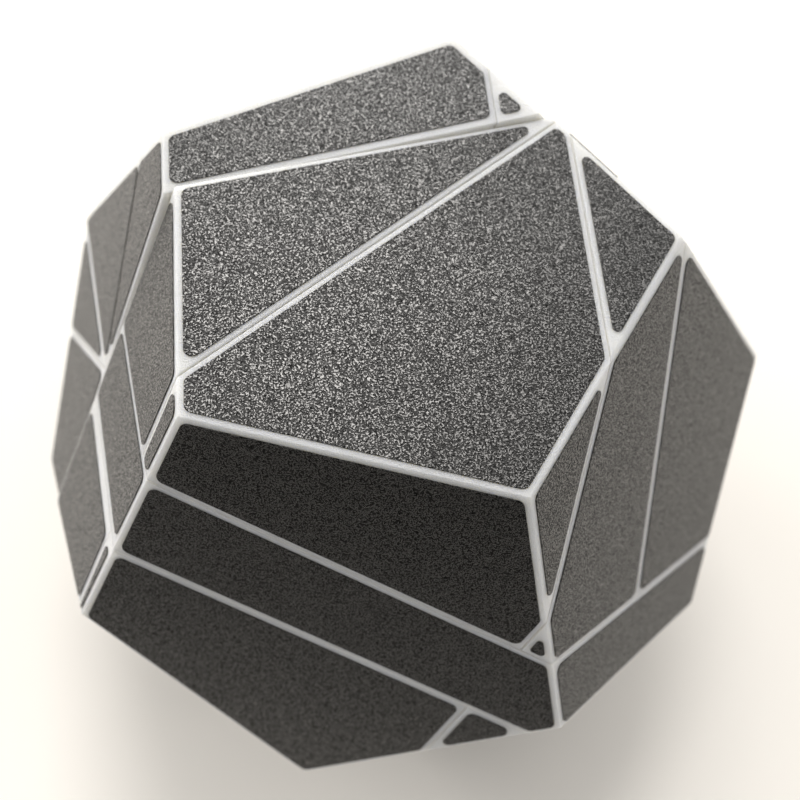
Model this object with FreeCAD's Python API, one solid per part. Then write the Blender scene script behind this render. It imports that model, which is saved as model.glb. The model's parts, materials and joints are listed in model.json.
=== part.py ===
import FreeCAD, Part
import math
import os

# Dodecahedron twisty puzzle with a Square-1 type mechanism.
#
# Row frame: origin at the centre of the dodecahedron, +Z through the centre of
# the top face, +X along the front edge of the top face, front face towards -Y.
# The puzzle is two halves that turn against each other about one axle (the
# slash axis).  Each half holds a flat equator half and two layers of four
# wedges that ride round a spool.  The layer axes of the two halves stand a
# little past ninety degrees to each other.
#
# Each half is modelled in its own frame: layer axis = y, slash plane z = 0,
# the half on the +z side.  It is placed in the row frame on export.

Vector = FreeCAD.Vector
X, Y, Z = Vector(1, 0, 0), Vector(0, 1, 0), Vector(0, 0, 1)

# ---------------------------------------------------------------- dimensions
ACROSS_FLATS = 80.0        # over the stickers, face to opposite face
STICKER_T = 0.14
BODY_R = ACROSS_FLATS / 2.0 - STICKER_T    # centre to the bare outer faces
CORE_TILT = 14.7           # turn of the mechanism about the left face's axis, degrees
BACK_TURN = 1.9            # how far the back half stands past ninety degrees
EQUATOR_T = 12.4           # thickness of the equator slab
HALF_SLAB = EQUATOR_T / 2.0
HALF_GAP = 0.08            # half of the running gap between neighbouring pieces
LAYER_BASE = HALF_SLAB + HALF_GAP          # where a layer of wedges starts
WALL = 2.2                 # shell wall
GLUE_GAP = 0.03            # between a foot and the shell it is glued in
FOOT_T = 2.0               # thickness of a foot plate
NECK_R = 20.0              # reach of the thick root of a foot

# Angles of the cuts about y, from -x towards +z, in the order wedges are numbered
CUT_ANGLES = {
    "front": (0.0, 28.4, 90.0, 120.0, 180.0),
    "back": (180.0, 150.0, 90.0, 60.0, 0.0),
}
# Layers of each half, with their side of the equator along y
LAYERS = {
    "front": (("upper", 1), ("lower", -1)),
    "back": (("right", 1), ("left", -1)),
}

# Spool
HUB_R = 15.95              # hub disc, inside the equator half
HUB_BORE_R = HUB_R + 0.05  # seat for it in the equator half
SPINDLE_R = 7.0            # half-round spindle that the claws ride round
SPINDLE_H = 12.0           # its half length, to the underside of the flange
FLANGE_R = 15.0            # half-disc flange over the claws
FLANGE_T = 2.0
FLANGE_TOP = SPINDLE_H + FLANGE_T
LIP_IN_R = 13.0            # turned-down lip that holds the claws in
LIP_H = 1.4
LIP_UNDER = SPINDLE_H - LIP_H

# Claws and the clearances round the spool
RUN_CLEAR = 0.08           # claw to spindle, lip and flange
CLAW_IN_R = SPINDLE_R + RUN_CLEAR
CLAW_OUT_R = FLANGE_R + 0.1
CLAW_SIDE_CLEAR = 0.1      # set back from each side of the wedge
CLAW_BOUND = 60.0          # outer limit of the wedge that a claw is cut from
LIP_CLEAR = 0.2            # claw and root to the underside of the lip
STEP_TOP = LIP_UNDER - LIP_CLEAR
FLANGE_CLEAR = 0.25        # shell to flange, radially
FLANGE_TOP_CLEAR = 0.2     # shell to flange, over its top

# Slash axle, spring, washer and nut; z from the slash plane
BORE_CLEAR = 0.1           # radial, round the axle and the core screws
AXLE_R = 1.5
AXLE_BORE_R = AXLE_R + BORE_CLEAR
AXLE_HEAD_R = 2.75
AXLE_HEAD_H = 2.2
AXLE_HEAD_Z = 13.5         # underside of the head
AXLE_TIP_Z = 9.2           # how far the thread reaches into the front half
AXLE_SOCKET_AF = 2.5       # AF: across flats
AXLE_SOCKET_D = 1.3
SPRING_BORE_R = 3.6        # well for washer, spring and head in the back half
SPRING_SEAT_Z = 8.0
SPRING_BORE_Z = (10.0, 60.0)   # span of the well through the equator half
WASHER_T = 0.5
WASHER_R = 3.3
SPRING_MEAN_R = 2.3
SPRING_WIRE_R = 0.3
SPRING_TURNS = 5.0
SPRING_END_GAP = 0.01      # wire to washer and to head
NUT_AF = 5.5
NUT_H = 2.4
NUT_Z = 6.0
NUT_POCKET_AF = NUT_AF + 0.12
NUT_BORE_R = AXLE_R + 0.03

# Core screws, either side of the axle
SCREW_X = 11.5
SCREW_HEAD_R = 2.3
SCREW_HEAD_CLEAR = 0.15
SCREW_HEAD_H = 1.8
SCREW_HEAD_SINK = 0.3      # head lies this far under the slash face
SCREW_HEAD_Z = HALF_GAP + SCREW_HEAD_SINK
SCREW_NECK_Z = SCREW_HEAD_Z + SCREW_HEAD_H
SCREW_R = 1.25
SCREW_TIP_Z = 20.0
SCREW_SOCKET_AF = 2.0
SCREW_SOCKET_D = 1.0
SCREW_HOLE_CLEAR = 0.02    # radial, in the equator half
SCREW_HOLE_Z = (8.0, SCREW_TIP_Z + 0.5)

# Hollows of the equator half
POCKET_Z = 22.0            # hollow starts behind the screws
POCKET_X = 5.8             # and either side of the axle's well
POCKET_SIDE_X = 18.5       # and outside the hub seat
DOOR_X = 13.5              # opening from each hollow into the hub seat
DOOR_Z = 3.6
DOOR_SIZE = (6.0, 5.0, 4.0)

# Reach of cutting tools
FAR = 200.0                # beyond the whole puzzle
PAST_CORE = 20.0           # beyond the spool
OVERRUN = 1.0              # past the surface that a tool breaks through
TOOL_BASE = HALF_SLAB - OVERRUN

# Faces, by their index in NORMALS
TOP_FACE_COUNT = 5         # faces in the ring round the top
UPPER_RING = (1, 2, 3, 4, 5)
REAR_FACES = (3, 4)        # the two upper back faces
LEFT_FACE = 5

# Bare rims round the stickers
SEAM_INSET = 0.60          # along a cut edge of a piece
EDGE_INSET = 0.66          # along an edge of the dodecahedron
SLASH_INSET = 0.84         # back half, along the slash plane
REAR_INSET = 1.0           # back half, next to the two upper back faces
BACK_INSET = 1.2           # on those two faces themselves
LOW_INSET = 0.4            # between the upper and the lower ring of faces
# The left face has its own rims along the cuts:
LEFT_SLASH_INSET = 0.55    # back half, along the slash plane
LEFT_FINE_INSET = 0.2      # back half, along the cut at LEFT_FINE_CUT degrees
LEFT_FINE_CUT = 150.0
LEFT_UPPER_INSET = 0.42    # front half, between upper layer and equator
LEFT_LOWER_INSET = 1.5     # front half, between equator and lower layer
SLIVER_SCALE = 0.62        # narrower rims on a facet too small for the full ones

# Sticker outlines
STICKER_LEAST = 0.35       # smallest sticker worth cutting, mm2
STICKER_MERGE = 0.2        # corners closer together than this become one
STICKER_CORNER_R = 0.95    # corner radius where the corner has room for it
STICKER_TIP_R = 0.58       # the same on a corner sharper than the next angle
STICKER_TIP_ANGLE = 52.0
STICKER_ROUND = 0.6        # largest radius on a small tile, against its mean half width
STICKER_TIP_RUN = 2.6      # longest straight run lost to rounding a corner
STICKER_SIDE_SHARE = 0.42  # largest share of a side lost to rounding one end

# Tolerances
CLIP_TOL = 1e-7
POINT_TOL = 1e-6
SIDE_TOL = 1e-4            # for telling which plane the side of a facet lies on


# ------------------------------------------------------------ normals, frames
def face_normals():
    """The twelve face normals: top, five round it from the front, then the opposites."""
    rise, spread = 1.0 / math.sqrt(5.0), 2.0 / math.sqrt(5.0)
    normals = [Z]
    for i in range(TOP_FACE_COUNT):
        angle = math.radians(-90.0 + 360.0 / TOP_FACE_COUNT * i)
        normals.append(Vector(spread * math.cos(angle), spread * math.sin(angle), rise))
    return normals + [normal * -1.0 for normal in normals]


NORMALS = face_normals()

# Mechanism axes.  The back layer axis passes through the centres of the left
# face and the one opposite; the slash axis points into the front half.
BACK_LAYER_AXIS = NORMALS[LEFT_FACE] * -1.0
_untilted_slash = (NORMALS[1] + NORMALS[2]).normalize()
_tilt = FreeCAD.Rotation(BACK_LAYER_AXIS, CORE_TILT)
FRONT_LAYER_AXIS = _tilt.multVec(_untilted_slash.cross(BACK_LAYER_AXIS))
SLASH_AXIS = _tilt.multVec(_untilted_slash)

# x, y and z of each half's frame, as the outer faces are cut
CUT_FRAMES = {
    "front": (BACK_LAYER_AXIS, FRONT_LAYER_AXIS, SLASH_AXIS),
    "back": (FRONT_LAYER_AXIS, BACK_LAYER_AXIS, SLASH_AXIS * -1.0),
}
# The same as each half stands: the front as cut, the back turned on
_back_turn = FreeCAD.Rotation(SLASH_AXIS, BACK_TURN)
PLACED_FRAMES = {
    "front": CUT_FRAMES["front"],
    "back": tuple(_back_turn.multVec(axis) for axis in CUT_FRAMES["back"]),
}
# The face normals, seen in each half's frame
LOCAL_NORMALS = {
    half: [Vector(*[normal.dot(axis) for axis in axes]) for normal in NORMALS]
    for half, axes in CUT_FRAMES.items()
}


# ------------------------------------------------------------ convex polyhedra
# A plane is (normal, distance, face): it keeps the points where
# normal . point <= distance.  The face is an index into NORMALS, or None on a
# cut.  A facet is (face, points), anticlockwise seen from outside.
def below(axis, height):
    return axis, height, None


def above(axis, height):
    return axis * -1.0, -height, None


def outer_planes(half, distance):
    return [(normal, distance, face) for face, normal in enumerate(LOCAL_NORMALS[half])]


def cut_normal(angle):
    """Normal of the plane through y at a cut angle, towards larger angles."""
    return Vector(math.sin(math.radians(angle)), 0.0, math.cos(math.radians(angle)))


def wedge_sides(angles, offset):
    low, high = angles
    return [above(cut_normal(low), offset), below(cut_normal(high), -offset)]


def wedge_planes(half, sign, angles, inset, base):
    """The space of a wedge, set in from its outer faces and sides, from height base."""
    return (
        outer_planes(half, BODY_R - inset)
        + wedge_sides(angles, HALF_GAP + inset)
        + [above(Y * sign, base)]
    )


def box_facets(reach):
    ends = (-reach, reach)
    corners = [Vector(x, y, z) for x in ends for y in ends for z in ends]
    quads = [
        (0, 1, 3, 2), (4, 6, 7, 5), (0, 4, 5, 1),
        (2, 3, 7, 6), (0, 2, 6, 4), (1, 5, 7, 3),
    ]
    return [(None, [corners[i] for i in quad]) for quad in quads]


def clip_polygon(points, normal, distance):
    """The part of a convex polygon where normal . point <= distance."""
    kept = []
    for i, start in enumerate(points):
        end = points[(i + 1) % len(points)]
        start_height = normal.dot(start) - distance
        end_height = normal.dot(end) - distance
        if start_height <= CLIP_TOL:
            kept.append(start)
        lowest, highest = sorted((start_height, end_height))
        if lowest < -CLIP_TOL and highest > CLIP_TOL:
            kept.append(start + (end - start) * (start_height / (start_height - end_height)))
    return kept


def merge_neighbours(points, gap):
    """Make one of neighbouring points that lie within gap of each other."""
    merged = []
    for point in points:
        if not merged or (point - merged[-1]).Length > gap:
            merged.append(point)
    if len(merged) > 1 and (merged[0] - merged[-1]).Length <= gap:
        merged.pop()
    return merged


def clip(facets, plane):
    """Cut a convex polyhedron at a plane and close it with a new facet."""
    normal, distance, face = plane
    kept_facets, ring = [], []
    for facet_face, points in facets:
        kept = clip_polygon(points, normal, distance)
        for point in kept:
            on_cut = abs(normal.dot(point) - distance) <= CLIP_TOL
            if on_cut and all((point - other).Length > POINT_TOL for other in ring):
                ring.append(point)
        kept = merge_neighbours(kept, POINT_TOL)
        if len(kept) > 2:
            kept_facets.append((facet_face, kept))
    closed = any(
        all(abs(normal.dot(point) - distance) < POINT_TOL for point in points)
        for _, points in kept_facets
    )
    if len(ring) > 2 and not closed:
        centre = sum(ring, Vector()) * (1.0 / len(ring))
        across = (ring[0] - centre).normalize()
        up = normal.cross(across)
        ring.sort(key=lambda point: math.atan2(
            (point - centre).dot(up), (point - centre).dot(across)
        ))
        kept_facets.append((face, ring))
    return kept_facets


def polyhedron(planes):
    facets = box_facets(FAR)
    for plane in planes:
        facets = clip(facets, plane)
    return facets


# --------------------------------------------------------------- basic shapes
def outward(shape):
    if shape.Volume < 0:
        shape.reverse()
    return shape


def polygon_face(points):
    return Part.Face(Part.makePolygon(points + [points[0]]))


def solid(planes):
    faces = [polygon_face(points) for _, points in polyhedron(planes)]
    return outward(Part.makeSolid(Part.makeShell(faces)))


def cylinder_y(radius, start, end):
    """Cylinder along y between two heights, in either order."""
    low, high = sorted((start, end))
    return Part.makeCylinder(radius, high - low, Vector(0, low, 0), Y)


def cylinder_z(radius, z0, z1, x=0.0):
    return Part.makeCylinder(radius, z1 - z0, Vector(x, 0, z0), Z)


def ring_y(inner_r, outer_r, start, end):
    low, high = sorted((start, end))
    bore = cylinder_y(inner_r, low - OVERRUN, high + OVERRUN)
    return cylinder_y(outer_r, low, high).cut(bore)


def hex_z(across_flats, z0, z1, x=0.0):
    radius = across_flats / math.sqrt(3.0)
    corners = []
    for degrees in range(0, 360, 60):
        angle = math.radians(degrees)
        corners.append(Vector(x + radius * math.cos(angle), radius * math.sin(angle), z0))
    return polygon_face(corners).extrude(Vector(0, 0, z1 - z0))


# ------------------------------------------------------------------- stickers
def on_plane(side, normal, distance):
    return all(abs(normal.dot(point) - distance) < SIDE_TOL for point in side)


def edge_rim(own, other, half):
    """Rim on face own along the edge of the dodecahedron that it shares with other."""
    if own in REAR_FACES:
        return BACK_INSET
    if half == "back" and other in REAR_FACES:
        return REAR_INSET
    if min(own, other) in UPPER_RING and max(own, other) not in UPPER_RING:
        return LOW_INSET
    return EDGE_INSET


def cut_rim(side, own, half):
    """Rim on face own along a cut."""
    on_left = own == LEFT_FACE
    if half == "back":
        if max(abs(point.z) for point in side) < 2.0 * HALF_GAP:
            return LEFT_SLASH_INSET if on_left else SLASH_INSET
        fine_cut = cut_normal(LEFT_FINE_CUT)
        if on_left and any(on_plane(side, fine_cut, d) for d in (HALF_GAP, -HALF_GAP)):
            return LEFT_FINE_INSET
    elif on_left:
        for sign, width in ((1, LEFT_UPPER_INSET), (-1, LEFT_LOWER_INSET)):
            if any(on_plane(side, Y * sign, d) for d in (HALF_SLAB, LAYER_BASE)):
                return width
    return SEAM_INSET


def rim_width(side, own, half):
    for other, normal in enumerate(LOCAL_NORMALS[half]):
        if other != own and on_plane(side, normal, BODY_R):
            return edge_rim(own, other, half)
    return cut_rim(side, own, half)


def polygon_area(points, normal):
    return 0.5 * sum(points[i - 1].cross(points[i]).dot(normal) for i in range(len(points)))


def inset_outline(points, own, half, scale):
    """A facet with each side moved in by its rim, or None where too little is left."""
    normal = LOCAL_NORMALS[half][own]
    outline = points
    for i, start in enumerate(points):
        end = points[(i + 1) % len(points)]
        outwards = (end - start).cross(normal).normalize()
        width = rim_width((start, end), own, half) * scale
        outline = clip_polygon(outline, outwards, outwards.dot(start) - width)
    outline = merge_neighbours(outline, STICKER_MERGE)
    if len(outline) < 3 or polygon_area(outline, normal) < STICKER_LEAST:
        return None
    return outline


def rounded_corner(before, corner, after, largest_r):
    """Start, middle and end of the arc that rounds a corner."""
    back, ahead = before - corner, after - corner
    back_length, ahead_length = back.Length, ahead.Length
    back.normalize()
    ahead.normalize()
    half_angle = 0.5 * math.acos(max(-1.0, min(1.0, back.dot(ahead))))
    sharp = 2.0 * half_angle < math.radians(STICKER_TIP_ANGLE)
    wanted_r = min(STICKER_TIP_R if sharp else STICKER_CORNER_R, largest_r)
    run = min(
        wanted_r / math.tan(half_angle),
        STICKER_TIP_RUN,
        STICKER_SIDE_SHARE * back_length,
        STICKER_SIDE_SHARE * ahead_length,
    )
    radius = run * math.tan(half_angle)
    reach = radius / math.sin(half_angle) - radius
    middle = corner + (back + ahead).normalize() * reach
    return corner + back * run, middle, corner + ahead * run


def sticker(points, own, half):
    """A thin tile with rounded corners on one outer facet, or None if it is too small."""
    outline = inset_outline(points, own, half, 1.0) or inset_outline(
        points, own, half, SLIVER_SCALE
    )
    if outline is None:
        return None
    normal = LOCAL_NORMALS[half][own]
    count = len(outline)
    perimeter = sum((outline[i] - outline[i - 1]).Length for i in range(count))
    largest_r = STICKER_ROUND * 2.0 * polygon_area(outline, normal) / perimeter
    corners = [
        rounded_corner(outline[i - 1], outline[i], outline[(i + 1) % count], largest_r)
        for i in range(count)
    ]
    edges = []
    for i, (start, middle, end) in enumerate(corners):
        next_start = corners[(i + 1) % count][0]
        edges.append(Part.Arc(start, middle, end).toShape())
        edges.append(Part.makeLine(end, next_start))
    return outward(Part.Face(Part.Wire(edges)).extrude(normal * STICKER_T))


def stickers(planes, half):
    """Stickers for all the outer facets of the piece that the planes bound."""
    tiles = [
        sticker(points, face, half)
        for face, points in polyhedron(planes)
        if face is not None
    ]
    return [tile for tile in tiles if tile is not None]


# --------------------------------------------------------------------- wedges
def wedge_outside(half, sign, angles):
    return wedge_planes(half, sign, angles, 0.0, LAYER_BASE)


def wedge_shell(half, sign, angles):
    """Hollow wedge, open towards the equator and cleared for the flange."""
    flange_well = cylinder_y(
        FLANGE_R + FLANGE_CLEAR, sign * TOOL_BASE, sign * (FLANGE_TOP + FLANGE_TOP_CLEAR)
    )
    hollow = solid(wedge_planes(half, sign, angles, WALL, TOOL_BASE))
    return solid(wedge_outside(half, sign, angles)).cut(flange_well).cut(hollow)


def wedge_claw(sign, angles):
    """Part of the foot under the lip and flange, stepped to pass inside the lip."""
    sector = solid(
        [below(Z, CLAW_BOUND)]
        + wedge_sides(angles, HALF_GAP + CLAW_SIDE_CLEAR)
        + [above(Y * sign, LAYER_BASE), below(Y * sign, SPINDLE_H - RUN_CLEAR)]
        + [below(X, CLAW_BOUND), above(X, -CLAW_BOUND)]
    )
    base = sign * TOOL_BASE
    wide = ring_y(CLAW_IN_R, CLAW_OUT_R, base, sign * STEP_TOP)
    tall = ring_y(CLAW_IN_R, LIP_IN_R - RUN_CLEAR, base, sign * (SPINDLE_H + OVERRUN))
    return sector.common(wide.fuse(tall))


def wedge_foot(half, sign, angles):
    """Plate glued into the shell, with a thick root and a claw."""
    inside = wedge_planes(half, sign, angles, WALL + GLUE_GAP, LAYER_BASE)
    plate = solid(inside + [below(Y * sign, LAYER_BASE + FOOT_T)])
    root = solid(inside + [below(Y * sign, STEP_TOP)]).common(
        cylinder_y(NECK_R, sign * TOOL_BASE, sign * (LIP_UNDER + OVERRUN))
    )
    spindle_well = cylinder_y(CLAW_IN_R, -FAR / 2, FAR / 2)
    return plate.fuse([root, wedge_claw(sign, angles)]).cut(spindle_well).removeSplitter()


# ------------------------------------------------------------ equator and core
def equator_planes(half, inset):
    """The space of the equator half, set in on every side."""
    return outer_planes(half, BODY_R - inset) + [
        below(Y, HALF_SLAB - inset),
        above(Y, inset - HALF_SLAB),
        above(Z, HALF_GAP + inset),
    ]


def equator_half(half):
    """The half slab between the two layers, with its seat for the spool."""
    body = solid(equator_planes(half, 0.0)).cut(
        cylinder_y(HUB_BORE_R, -HALF_SLAB - OVERRUN, HALF_SLAB + OVERRUN)
    )
    room = equator_planes(half, WALL)
    width, depth, height = DOOR_SIZE
    for sign in (1, -1):
        side_pocket = solid(room + [above(X * sign, POCKET_SIDE_X)])
        deep_pocket = solid(room + [above(X * sign, POCKET_X), above(Z, POCKET_Z)])
        door_start = DOOR_X if sign > 0 else -DOOR_X - width
        door = Part.makeBox(width, depth, height, Vector(door_start, -depth / 2, DOOR_Z))
        body = body.cut(side_pocket.fuse([deep_pocket, door]))
        body = body.cut(
            cylinder_z(SCREW_R + SCREW_HOLE_CLEAR, *SCREW_HOLE_Z, x=sign * SCREW_X)
        )
    if half == "back":
        body = body.cut(cylinder_z(SPRING_BORE_R, *SPRING_BORE_Z))
    return body


def core_half(half):
    """Half of the spool: hub disc, spindle, two flanges with lips."""
    body = cylinder_y(HUB_R, -HALF_SLAB, HALF_SLAB).fuse(
        cylinder_y(SPINDLE_R, -SPINDLE_H, SPINDLE_H)
    )
    for sign in (1, -1):
        flange = cylinder_y(FLANGE_R, sign * SPINDLE_H, sign * FLANGE_TOP)
        lip = ring_y(LIP_IN_R, FLANGE_R, sign * LIP_UNDER, sign * SPINDLE_H)
        body = body.fuse([flange, lip])
    own_side = Part.makeBox(2 * FAR, 2 * FAR, FAR, Vector(-FAR, -FAR, HALF_GAP))
    body = body.common(own_side).removeSplitter()
    body = body.cut(cylinder_z(AXLE_BORE_R, -OVERRUN, PAST_CORE))
    if half == "front":
        body = body.cut(hex_z(NUT_POCKET_AF, NUT_Z, PAST_CORE))
    else:
        body = body.cut(cylinder_z(SPRING_BORE_R, SPRING_SEAT_Z, PAST_CORE))
    for x in (SCREW_X, -SCREW_X):
        body = body.cut(
            cylinder_z(SCREW_HEAD_R + SCREW_HEAD_CLEAR, -OVERRUN, SCREW_NECK_Z, x)
        )
        body = body.cut(cylinder_z(SCREW_R + BORE_CLEAR, -OVERRUN, PAST_CORE, x))
    return body


def core_screw(x):
    head = cylinder_z(SCREW_HEAD_R, SCREW_HEAD_Z, SCREW_NECK_Z, x)
    socket = hex_z(SCREW_SOCKET_AF, SCREW_HEAD_Z - OVERRUN, SCREW_HEAD_Z + SCREW_SOCKET_D, x)
    shaft = cylinder_z(SCREW_R, SCREW_NECK_Z, SCREW_TIP_Z, x)
    return head.cut(socket).fuse(shaft).removeSplitter()


# ---------------------------------------------------------------- slash axle
# Screw, spring and washer are drawn in the back half's frame, the nut in the front's.
def axle_screw():
    top = AXLE_HEAD_Z + AXLE_HEAD_H
    shaft = cylinder_z(AXLE_R, -AXLE_TIP_Z, AXLE_HEAD_Z)
    screw = shaft.fuse(cylinder_z(AXLE_HEAD_R, AXLE_HEAD_Z, top))
    socket = hex_z(AXLE_SOCKET_AF, top - AXLE_SOCKET_D, top + OVERRUN)
    return screw.cut(socket).removeSplitter()


def axle_washer():
    disc = cylinder_z(WASHER_R, SPRING_SEAT_Z, SPRING_SEAT_Z + WASHER_T)
    return disc.cut(cylinder_z(AXLE_BORE_R, 0.0, PAST_CORE))


def axle_spring():
    """Round wire coiled between the washer and the screw head."""
    end_offset = SPRING_WIRE_R + SPRING_END_GAP
    z0 = SPRING_SEAT_Z + WASHER_T + end_offset
    height = AXLE_HEAD_Z - end_offset - z0
    helix = Part.makeHelix(height / SPRING_TURNS, height, SPRING_MEAN_R)
    helix.translate(Vector(0, 0, z0))
    section = Part.Wire(Part.makeCircle(SPRING_WIRE_R, Vector(SPRING_MEAN_R, 0, z0), Y))
    return outward(Part.Wire(helix).makePipeShell([section], True, True))


def axle_nut():
    bore = cylinder_z(NUT_BORE_R, 0.0, PAST_CORE)
    return hex_z(NUT_AF, NUT_Z, NUT_Z + NUT_H).cut(bore)


# --------------------------------------------------------------------- export
def to_row(shape, half):
    """A shape drawn in a half's frame, placed in the row frame."""
    x, y, z = PLACED_FRAMES[half]
    matrix = FreeCAD.Matrix(
        x.x, y.x, z.x, 0,
        x.y, y.y, z.y, 0,
        x.z, y.z, z.z, 0,
        0, 0, 0, 1,
    )
    placed = shape.copy()
    placed.transformShape(matrix, True)
    return placed


def export(name, shapes, half):
    placed = [to_row(shape, half) for shape in shapes]
    piece = placed[0] if len(placed) == 1 else Part.makeCompound(placed)
    piece.exportStep("parts/" + name + ".step")


def export_half(half):
    export(half + "_equator_half", [equator_half(half)], half)
    export(half + "_equator_stickers", stickers(equator_planes(half, 0.0), half), half)
    export(half + "_core_half", [core_half(half)], half)
    export(half + "_core_screws", [core_screw(x) for x in (SCREW_X, -SCREW_X)], half)
    cuts = CUT_ANGLES[half]
    for layer, sign in LAYERS[half]:
        for i in range(len(cuts) - 1):
            angles = sorted(cuts[i:i + 2])
            name = "%s_%s_wedge_%d" % (half, layer, i + 1)
            tiles = stickers(wedge_outside(half, sign, angles), half)
            export(name + "_shell", [wedge_shell(half, sign, angles)], half)
            export(name + "_foot", [wedge_foot(half, sign, angles)], half)
            export(name + "_stickers", tiles, half)


os.makedirs("parts", exist_ok=True)
for half_name in ("front", "back"):
    export_half(half_name)
export("slash_axle_screw", [axle_screw()], "back")
export("slash_axle_spring", [axle_spring()], "back")
export("slash_axle_washer", [axle_washer()], "back")
export("slash_axle_nut", [axle_nut()], "front")
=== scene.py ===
"""Looks of a dodecahedron twisty puzzle: white nylon shells with black vinyl stickers.

The puzzle is centred near the origin, +Z up, and rests on the floor at the lowest point
of its CAD. The camera looks down on it from the front (-Y); left is -X. Metres.
"""

import json
import math

import bpy
from mathutils import Matrix, Vector


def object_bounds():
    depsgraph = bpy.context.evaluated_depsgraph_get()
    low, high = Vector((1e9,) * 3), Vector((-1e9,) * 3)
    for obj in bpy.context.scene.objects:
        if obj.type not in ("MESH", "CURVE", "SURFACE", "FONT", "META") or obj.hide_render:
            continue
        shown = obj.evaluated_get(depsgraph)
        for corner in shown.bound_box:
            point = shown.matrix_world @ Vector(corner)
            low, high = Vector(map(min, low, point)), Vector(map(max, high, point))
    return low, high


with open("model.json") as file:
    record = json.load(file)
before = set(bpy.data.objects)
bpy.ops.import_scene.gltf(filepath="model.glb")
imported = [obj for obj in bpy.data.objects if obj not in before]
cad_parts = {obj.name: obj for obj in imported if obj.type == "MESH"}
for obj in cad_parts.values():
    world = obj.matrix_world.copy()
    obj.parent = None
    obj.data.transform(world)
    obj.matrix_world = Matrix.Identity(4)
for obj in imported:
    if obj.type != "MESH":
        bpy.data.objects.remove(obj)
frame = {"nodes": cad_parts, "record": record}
cad_lo, cad_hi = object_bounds()
nodes = frame["nodes"]
scene = bpy.context.scene
floor_z = cad_lo[2]

MM = 0.001
PLASTIC_IOR = 1.5


# ---------------------------------------------------------------- node helpers
def grey(value):
    return (value, value, value, 1.0)


def opaque(rgb):
    return tuple(rgb) + (1,)


class Graph:
    """Adds and links nodes in an emptied node tree of any kind."""

    def __init__(self, tree):
        self.tree = tree
        tree.nodes.clear()

    def put(self, node, key, value):
        """Links a socket to an input, or sets the input to a plain value."""
        if isinstance(value, bpy.types.NodeSocket):
            self.tree.links.new(value, node.inputs[key])
        else:
            node.inputs[key].default_value = value

    def add(self, kind, inputs=None, **props):
        node = self.tree.nodes.new(kind)
        for key, value in props.items():
            setattr(node, key, value)
        for key, value in (inputs or {}).items():
            self.put(node, key, value)
        return node

    def math(self, op, a, b=0.0, clamp=False):
        node = self.add("ShaderNodeMath", {0: a, 1: b}, operation=op, use_clamp=clamp)
        return node.outputs[0]

    def vector_math(self, op, a, b):
        return self.add("ShaderNodeVectorMath", {0: a, 1: b}, operation=op)


class Material(Graph):
    """A new material, with the texture nodes that the finishes share."""

    def __init__(self, name):
        self.mat = bpy.data.materials.new(name)
        self.mat.use_nodes = True
        super().__init__(self.mat.node_tree)
        self.out = self.add("ShaderNodeOutputMaterial")

    def coords_mm(self):
        """Object position in millimetres, so that texture scales are cells per mm."""
        position = self.add("ShaderNodeTexCoord").outputs["Object"]
        return self.vector_math("MULTIPLY", position, (1000.0, 1000.0, 1000.0)).outputs[0]

    def noise(self, vector, scale, detail=2.0, rough=0.5, distortion=0.0):
        inputs = {
            "Vector": vector,
            "Scale": scale,
            "Detail": detail,
            "Roughness": rough,
            "Distortion": distortion,
        }
        return self.add("ShaderNodeTexNoise", inputs).outputs[0]

    def ramp(self, factor, stops, interpolation="LINEAR"):
        """Grey ramp; stops are (position, value)."""
        node = self.add("ShaderNodeValToRGB")
        node.color_ramp.interpolation = interpolation
        elements = node.color_ramp.elements
        while len(elements) > 1:
            elements.remove(elements[-1])
        elements[0].position = stops[0][0]
        elements[0].color = grey(stops[0][1])
        for position, value in stops[1:]:
            elements.new(position).color = grey(value)
        self.put(node, 0, factor)
        return node.outputs[0]

    def mix(self, factor, a, b):
        """Colour a where the factor is 0, b where it is 1."""
        return self.add("ShaderNodeMix", {0: factor, 6: a, 7: b}, data_type="RGBA").outputs[2]

    def bump(self, height, distance, strength, normal=None):
        inputs = {"Height": height, "Distance": distance, "Strength": strength}
        if normal is not None:
            inputs["Normal"] = normal
        return self.add("ShaderNodeBump", inputs).outputs[0]

    def finish(self, inputs):
        """Adds the surface shader and returns the material."""
        shader = self.add("ShaderNodeBsdfPrincipled", inputs)
        self.put(self.out, 0, shader.outputs[0])
        return self.mat


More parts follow.
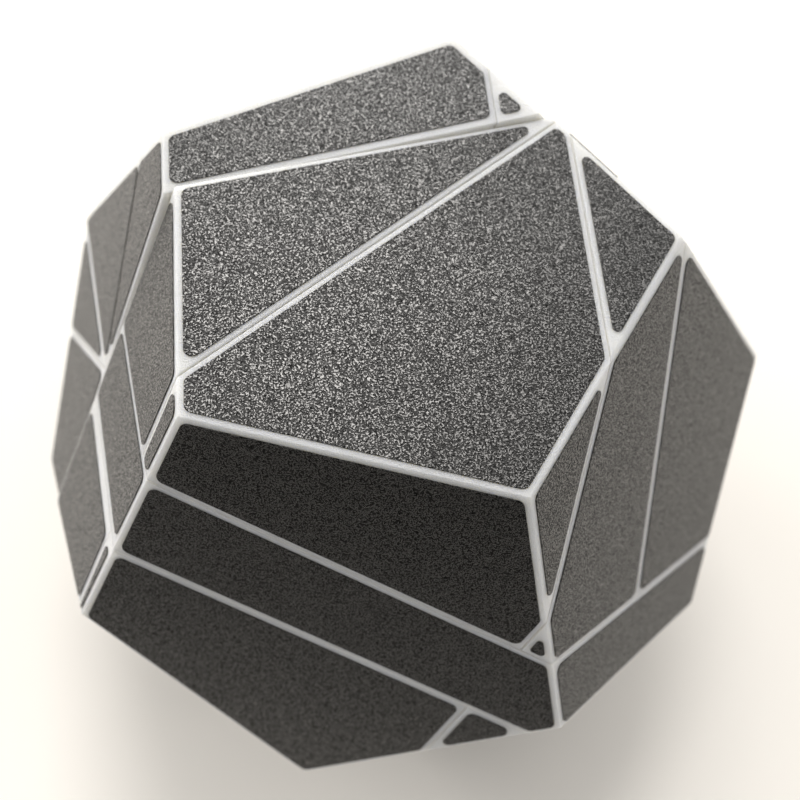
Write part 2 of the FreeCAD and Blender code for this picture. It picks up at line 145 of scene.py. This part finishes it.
# ------------------------------------------------------------------- materials
def nylon():
    """Sintered nylon: near white, faintly translucent, with a fine sugar grain;
    cream in the seams as painted shade, laid on by ambient occlusion."""
    unshaded_dark = (0.63, 0.626, 0.609, 1)
    unshaded_light = (0.70, 0.696, 0.679, 1)
    # Painted shade: the cream tint that the seams get where they are occluded.
    seam_shade_cream = (0.72, 0.700, 0.640, 1)
    seam_reach = 1.6 * MM
    seam_falloff = 1.4                   # power on the occlusion; higher is creamier
    grain_whitening = 0.35
    noise_share, facet_share = 0.55, 0.45  # make-up of the grain's height

    mat = Material("sintered_nylon")
    position = mat.coords_mm()
    grains = mat.noise(position, scale=5.2, detail=2.0, rough=0.65)
    lumps = mat.noise(position, scale=1.1, detail=3.0, rough=0.6)
    broad = mat.noise(position, scale=0.09)
    cells = mat.add(
        "ShaderNodeTexVoronoi", {"Vector": position, "Scale": 6.5, "Randomness": 1.0}
    )
    facet = mat.math("MULTIPLY", cells.outputs["Distance"], 1.0)

    # Painted shade: ambient occlusion mixes the cream tint into the seams.
    occlusion = mat.add("ShaderNodeAmbientOcclusion", {"Distance": seam_reach}, samples=6)
    open_air = mat.math("POWER", occlusion.outputs["AO"], seam_falloff)
    unshaded_tone = mat.mix(mat.ramp(broad, [(0.35, 0.0), (0.65, 1.0)]), unshaded_dark, unshaded_light)
    tone = mat.mix(open_air, seam_shade_cream, unshaded_tone)
    above_middle = mat.math("SUBTRACT", grains, 0.5)
    whitening = mat.math("MULTIPLY", above_middle, grain_whitening, clamp=True)
    tone = mat.mix(whitening, tone, (1, 1, 1, 1))

    height = mat.math(
        "ADD",
        mat.math("MULTIPLY", grains, noise_share),
        mat.math("MULTIPLY", facet, facet_share),
    )
    normal = mat.bump(lumps, distance=0.035 * MM, strength=0.5)
    normal = mat.bump(height, distance=0.13 * MM, strength=0.9, normal=normal)
    # Each cell has its own roughness, so that some sparkle.
    rough = mat.ramp(cells.outputs["Color"], [(0.0, 0.22), (0.6, 0.58), (1.0, 0.72)])
    return mat.finish({
        "Base Color": tone,
        "Roughness": rough,
        "Normal": normal,
        "IOR": PLASTIC_IOR,
        "Subsurface Weight": 0.85,
        "Subsurface Radius": (1.0, 0.95, 0.8),
        "Subsurface Scale": 3.0 * MM,
    })


def vinyl():
    """Black embossed vinyl: raised grain cut by worm-like grooves, with a little dust and
    painted shade in the valleys.
    """
    grain_scale = 5.5                    # noise cells per millimetre
    groove_scale = grain_scale * 0.55
    fine_scale = grain_scale * 2.3
    warp_amount = (0.5, 0.5, 0.5)        # mm
    emboss_depth = 0.07 * MM
    grain_share, groove_share, fine_share = 0.74, 0.20, 0.06  # make-up of the height
    # Painted shade: the valley colour is darker than the ridge colour because shade falls in
    # the valleys.
    shaded_valley = (0.0015, 0.0015, 0.0015, 1)
    ridge = (0.0095, 0.0093, 0.009, 1)
    dust_colour = (0.022, 0.021, 0.0195, 1)
    valley_gloss, ridge_gloss = 0.0, 1.38  # specular levels
    ridge_rough = 0.26
    valley_extra_rough = 0.22
    ridge_sheen = 0.085

    mat = Material("embossed_black_vinyl")
    position = mat.coords_mm()
    warp = mat.add("ShaderNodeTexNoise", {"Vector": position, "Scale": 0.9, "Detail": 1.0})
    offset = mat.vector_math("MULTIPLY", warp.outputs[1], warp_amount)
    warped = mat.vector_math("ADD", position, offset.outputs[0]).outputs[0]
    grain_noise = mat.noise(warped, grain_scale, detail=0.0)
    groove_noise = mat.noise(warped, groove_scale, detail=0.0)
    fine = mat.noise(warped, fine_scale, detail=1.0)

    # The grooves run where the coarse noise is near its middle value.
    groove = mat.math("ABSOLUTE", mat.math("SUBTRACT", groove_noise, 0.5))
    groove = mat.ramp(groove, [(0.0, 0.0), (0.045, 0.55), (0.10, 1.0)], "EASE")
    grain = mat.ramp(grain_noise, [(0.465, 0.0), (0.533, 0.5), (0.595, 1.0)], "EASE")
    height = mat.math(
        "ADD",
        mat.math("MULTIPLY", grain, grain_share),
        mat.math("MULTIPLY", groove, groove_share),
    )
    height = mat.math("ADD", height, mat.math("MULTIPLY", fine, fine_share))

    dust = mat.noise(position, scale=0.35, detail=4.0, rough=0.65)
    # Painted shade: darker colour down in the valleys.
    tone = mat.mix(height, shaded_valley, ridge)
    tone = mat.mix(mat.ramp(dust, [(0.45, 0.0), (0.8, 0.25)]), tone, dust_colour)
    # Painted shade: little light gets down into the valleys and out again, so their gloss and
    # sheen are cut by the height.
    gloss_rise = mat.math("MULTIPLY", height, ridge_gloss - valley_gloss)
    gloss = mat.math("ADD", valley_gloss, gloss_rise)
    normal = mat.bump(height, distance=emboss_depth, strength=1.0)
    depth = mat.math("SUBTRACT", 1.0, height)
    rough = mat.math("ADD", ridge_rough, mat.math("MULTIPLY", depth, valley_extra_rough))
    return mat.finish({
        "Base Color": tone,
        "Roughness": rough,
        "Normal": normal,
        "IOR": PLASTIC_IOR,
        "Specular IOR Level": gloss,
        # Painted warm light: the reflections and the sheen are tinted warm.
        "Specular Tint": (1.0, 0.98, 0.955, 1),
        "Sheen Weight": mat.math("MULTIPLY", height, ridge_sheen),
        "Sheen Roughness": 0.34,
        "Sheen Tint": (1.0, 0.98, 0.95, 1),
    })


def moulded(name, base, smooth_rough, scuffed_rough):
    """Moulded plastic with flow marks, fine texture and wear."""
    # Flow marks swing the base colour a quarter either way.
    dark = opaque(0.75 * c for c in base)
    light = opaque(min(1.0, 1.25 * c + 0.01) for c in base)

    mat = Material(name)
    position = mat.coords_mm()
    flow = mat.noise(position, scale=0.22, detail=3.0, rough=0.55, distortion=0.6)
    fine = mat.noise(position, scale=6.0, detail=3.0, rough=0.6)
    scuff = mat.noise(position, scale=1.4, detail=5.0, rough=0.7)
    return mat.finish({
        "Base Color": mat.mix(flow, dark, light),
        "Roughness": mat.ramp(scuff, [(0.35, smooth_rough), (0.7, scuffed_rough)]),
        "Normal": mat.bump(fine, distance=0.02 * MM, strength=0.6),
        "IOR": PLASTIC_IOR,
    })


def steel(name, base, anisotropy):
    """Plated or drawn steel with turning marks and faint tarnish."""
    tarnished = opaque(0.7 * c for c in base)

    mat = Material(name)
    wave = {
        "Vector": mat.coords_mm(),
        "Scale": 3.5,
        "Distortion": 1.5,
        "Detail": 3.0,
        "Detail Scale": 2.0,
    }
    marks = mat.add("ShaderNodeTexWave", wave).outputs[0]
    tarnish = mat.noise(wave["Vector"], scale=0.9, detail=5.0, rough=0.65)
    return mat.finish({
        "Base Color": mat.mix(tarnish, tarnished, opaque(base)),
        "Metallic": 1.0,
        "Roughness": mat.ramp(tarnish, [(0.3, 0.22), (0.75, 0.42)]),
        "Anisotropic": anisotropy,
        "Normal": mat.bump(marks, distance=0.006 * MM, strength=0.5),
    })


MATERIALS = {
    "white_nylon": nylon(),
    "vinyl_sticker": vinyl(),
    "core_plastic": moulded(
        "moulded_black_core", base=(0.035, 0.035, 0.038), smooth_rough=0.28, scuffed_rough=0.5
    ),
    "foot_plastic": moulded(
        "polished_nylon_foot", base=(0.72, 0.72, 0.69), smooth_rough=0.38, scuffed_rough=0.6
    ),
    "zinc_steel": steel("zinc_plated_steel", base=(0.62, 0.63, 0.64), anisotropy=0.3),
    "spring_steel": steel("drawn_spring_steel", base=(0.45, 0.45, 0.46), anisotropy=0.6),
}


# -------------------------------------------------------------- edge treatment
OUTER_PLANE = 39.5 * MM   # faces whose plane lies further out are the solid's own
CRISP_ANGLE = math.radians(30.0)
ALIGNED_ANGLE = math.radians(18.0)    # flatter shell edges aren't rounded
# Rounding weight of a shell edge, and what it gains as its faces are outer ones.
INSIDE_WEIGHT = 0.20
ONE_OUTER_GAIN = 0.16
TWO_OUTER_GAIN = 0.64

WELD_DISTANCE = 0.004 * MM
FLAT_ANGLE = math.radians(1.0)        # facets closer than this join into one flat
BEVEL_ANGLE = math.radians(20.0)
SHELL_ROUNDING = {"width": 0.5 * MM, "segments": 3}
STICKER_ROUNDING = {"width": 0.05 * MM, "segments": 2}


def geometry_graph(name):
    """An empty geometry node group, with its input and output nodes."""
    group = bpy.data.node_groups.new(name, "GeometryNodeTree")
    for direction in ("INPUT", "OUTPUT"):
        group.interface.new_socket(
            "Geometry", in_out=direction, socket_type="NodeSocketGeometry"
        )
    graph = Graph(group)
    return graph, graph.add("NodeGroupInput"), graph.add("NodeGroupOutput")


def set_smooth(graph, geometry, domain, smooth):
    inputs = {"Geometry": geometry, "Shade Smooth": smooth}
    return graph.add("GeometryNodeSetShadeSmooth", inputs, domain=domain)


def edge_sharper_than(graph, angle):
    edge_angle = graph.add("GeometryNodeInputMeshEdgeAngle")
    return graph.math("GREATER_THAN", edge_angle.outputs[0], angle)


def smooth_group():
    """Smooth shading, kept crisp at every sharp edge."""
    graph, source, result = geometry_graph("smooth_but_crisp")
    faces = set_smooth(graph, source.outputs[0], "FACE", True)
    edges = set_smooth(graph, faces.outputs[0], "EDGE", False)
    graph.put(edges, "Selection", edge_sharper_than(graph, CRISP_ANGLE))
    graph.put(result, 0, edges.outputs[0])
    return graph.tree


def weight_group():
    """Rounding weights for the edges of a shell: full on an edge of the dodecahedron,
    small along a cut, smaller still inside; none where two facets nearly align."""
    graph, source, result = geometry_graph("edge_rounding")
    normal = graph.add("GeometryNodeInputNormal")
    position = graph.add("GeometryNodeInputPosition")
    plane_distance = graph.vector_math("DOT_PRODUCT", normal.outputs[0], position.outputs[0])
    outer = graph.math("GREATER_THAN", plane_distance.outputs["Value"], OUTER_PLANE)
    # Averaged onto an edge, this is the share of its faces that are outer.
    share = graph.add(
        "GeometryNodeFieldOnDomain", data_type="FLOAT", domain="FACE"
    )
    graph.put(share, 0, outer)
    two_outer = graph.math("GREATER_THAN", share.outputs[0], 0.9)
    one_outer = graph.math("GREATER_THAN", share.outputs[0], 0.4)
    weight = graph.math(
        "ADD",
        graph.math("MULTIPLY", one_outer, ONE_OUTER_GAIN),
        graph.math("MULTIPLY", two_outer, TWO_OUTER_GAIN),
    )
    weight = graph.math("ADD", weight, INSIDE_WEIGHT)
    weight = graph.math("MULTIPLY", weight, edge_sharper_than(graph, ALIGNED_ANGLE))
    store = graph.add(
        "GeometryNodeStoreNamedAttribute",
        {"Name": "bevel_weight_edge"},
        data_type="FLOAT",
        domain="EDGE",
    )
    graph.put(store, "Value", weight)
    smooth = set_smooth(graph, source.outputs[0], "FACE", True)
    graph.put(store, "Geometry", smooth.outputs[0])
    graph.put(result, 0, store.outputs[0])
    return graph.tree


SMOOTH = smooth_group()
WEIGHTS = weight_group()


def add_group(obj, name, group):
    obj.modifiers.new(name, "NODES").node_group = group


def soften(obj, width, segments, weighted):
    """Joins the CAD facets into clean flats, then rounds the edges between them."""
    weld = obj.modifiers.new("join", "WELD")
    weld.merge_threshold = WELD_DISTANCE
    flat = obj.modifiers.new("flats", "DECIMATE")
    flat.decimate_type = "DISSOLVE"
    flat.angle_limit = FLAT_ANGLE
    add_group(obj, "weights", WEIGHTS if weighted else SMOOTH)
    bevel = obj.modifiers.new("round", "BEVEL")
    if weighted:
        bevel.limit_method = "WEIGHT"
    else:
        bevel.limit_method = "ANGLE"
        bevel.angle_limit = BEVEL_ANGLE
    bevel.width = width
    bevel.segments = segments
    bevel.use_clamp_overlap = True
    bevel.harden_normals = True
    bevel.miter_outer = "MITER_ARC"


def dress(obj, mat):
    """Puts the material in every slot, adding a slot where there is none."""
    if not obj.material_slots:
        obj.data.materials.append(mat)
    for slot in obj.material_slots:
        slot.material = mat


slot_of_node = {part["node"]: part["material_slot"] for part in frame["record"]["subparts"]}
for name, obj in nodes.items():
    dress(obj, MATERIALS[slot_of_node[name]])
    if name.endswith(("_shell", "equator_half")):
        soften(obj, weighted=True, **SHELL_ROUNDING)
    elif name.endswith("stickers"):
        soften(obj, weighted=False, **STICKER_ROUNDING)
    else:
        add_group(obj, "smooth", SMOOTH)


# ------------------------------------------------------------- stage and light
def add_object(name, data):
    obj = bpy.data.objects.new(name, data)
    scene.collection.objects.link(obj)
    return obj


def level_square(name, size, centre, mat):
    """A horizontal square of the stage."""
    half = size / 2
    corners = [(-half, -half, 0), (half, -half, 0), (half, half, 0), (-half, half, 0)]
    mesh = bpy.data.meshes.new(name)
    mesh.from_pydata(corners, [], [(0, 1, 2, 3)])
    mesh.materials.append(mat)
    square = add_object(name, mesh)
    square.location = centre
    return square


def pale_floor():
    mat = Material("pale_floor")
    patches = mat.noise(mat.coords_mm(), scale=0.012, detail=3.0)
    tone = mat.mix(patches, (0.92, 0.872, 0.805, 1), (0.95, 0.91, 0.85, 1))
    return mat.finish({"Base Color": tone, "Roughness": 0.7})


# Painted shade: a dark sheet that stands in for the shade in front, seen only in reflections.
def black_card():
    mat = Material("black_card")
    patches = mat.noise(mat.coords_mm(), scale=0.05)
    tone = mat.mix(patches, grey(0.01), grey(0.02))
    return mat.finish({"Base Color": tone, "Roughness": 1.0, "Specular IOR Level": 0.0})


def softbox(name, place, diameter, watts, colour):
    """A round area light aimed at the origin."""
    light = bpy.data.lights.new(name, "AREA")
    light.shape = "DISK"
    light.size = diameter
    light.energy = watts
    light.color = colour
    obj = add_object(name, light)
    obj.location = place
    obj.rotation_euler = (-Vector(place)).to_track_quat("-Z", "Y").to_euler()


level_square("floor", size=6.0, centre=(0, 0, floor_z), mat=pale_floor())

# name, place, diameter, watts, colour
SOFTBOXES = [
    ("softbox_top", (-0.15, 0.42, 0.78), 0.40, 3.3, (1.0, 0.985, 0.965)),
    ("softbox_back", (-0.25, 0.80, 0.42), 0.4, 1.7, (1.0, 0.99, 0.975)),
    ("softbox_left", (-0.85, 0.25, 0.35), 0.5, 3.4, (1.0, 0.985, 0.96)),
    ("softbox_right", (0.85, 0.05, 0.30), 0.5, 0.9, (1.0, 0.99, 0.975)),
]
for row in SOFTBOXES:
    softbox(*row)

# Painted shade: a dark card just above the floor in front, met by reflections only, stands in
# for the shade there.
card = level_square(
    "painted_shade_card", size=1.0, centre=(0, -0.625, floor_z + 0.002), mat=black_card()
)
card.visible_camera = False
card.visible_diffuse = False
card.visible_shadow = False
card.visible_transmission = False

# Sky: bright low down behind and to the left, dim overhead and in front.
SKY_AIM = (-0.35, 0.90, -0.26)        # towards the bright side
SKY_FROM = (-0.65, 0.75)              # alignment with the aim where the rise starts and ends
SKY_TO = (0.05, 1.9)                  # strengths there
EVEN_SKY = (0.42, 1.02)               # strengths facing away from and along the aim
CAMERA_SKY = 1.0                      # strength the camera sees
SKY_COLOUR = (1.0, 0.995, 0.985, 1)


def sky_range(graph, alignment, span, strengths, **props):
    inputs = {
        "Value": alignment,
        "From Min": span[0],
        "From Max": span[1],
        "To Min": strengths[0],
        "To Max": strengths[1],
    }
    return graph.add("ShaderNodeMapRange", inputs, **props).outputs[0]


def build_sky():
    world = bpy.data.worlds.new("studio")
    scene.world = world
    world.use_nodes = True
    graph = Graph(world.node_tree)
    out = graph.add("ShaderNodeOutputWorld")
    background = graph.add("ShaderNodeBackground", {0: SKY_COLOUR})
    direction = graph.add("ShaderNodeTexCoord").outputs["Generated"]
    aligned = graph.vector_math("DOT_PRODUCT", direction, SKY_AIM).outputs["Value"]
    graded = sky_range(graph, aligned, SKY_FROM, SKY_TO, interpolation_type="SMOOTHSTEP")
    # Matt surfaces see an evener sky, so that white walls in the cuts stay light.
    even = sky_range(graph, aligned, (-1.0, 1.0), EVEN_SKY)
    path = graph.add("ShaderNodeLightPath").outputs
    lit = graph.add(
        "ShaderNodeMix", {0: path["Is Diffuse Ray"], 2: graded, 3: even}, data_type="FLOAT"
    )
    seen = graph.add(
        "ShaderNodeMix",
        {0: path["Is Camera Ray"], 2: lit.outputs[0], 3: CAMERA_SKY},
        data_type="FLOAT",
    )
    graph.put(background, "Strength", seen.outputs[0])
    graph.put(out, 0, background.outputs[0])


build_sky()

# ---------------------------------------------------------------------- camera
CAMERA_PLACE = (0.009391, -0.065669, 0.143561)
CAMERA_AXES = (
    (0.974212, 0.215626, 0.066456),   # right
    (-0.223897, 0.887352, 0.403083),  # up
    (0.027946, -0.407568, 0.912747),  # back
)
FOCUS_PLACE = (0.004, -0.019, 0.040)  # on the top face, near its front edge

focus = add_object("focus_point", None)
focus.location = FOCUS_PLACE

lens = bpy.data.cameras.new("camera")
lens.sensor_width = 36.0              # mm, as is the focal length
lens.sensor_fit = "HORIZONTAL"
lens.lens = 51.00075
lens.shift_x = -0.0326375             # shifts are shares of the sensor width
lens.shift_y = 0.0293125
lens.clip_start = 0.005
lens.dof.use_dof = True
lens.dof.focus_object = focus
lens.dof.aperture_fstop = 28.0

camera = add_object("camera", lens)
pose = Matrix(CAMERA_AXES).transposed().to_4x4()
pose.translation = Vector(CAMERA_PLACE)
camera.matrix_world = pose
scene.camera = camera

view = scene.view_settings
view.view_transform = "Standard"
view.look = "None"
view.exposure = 0.0
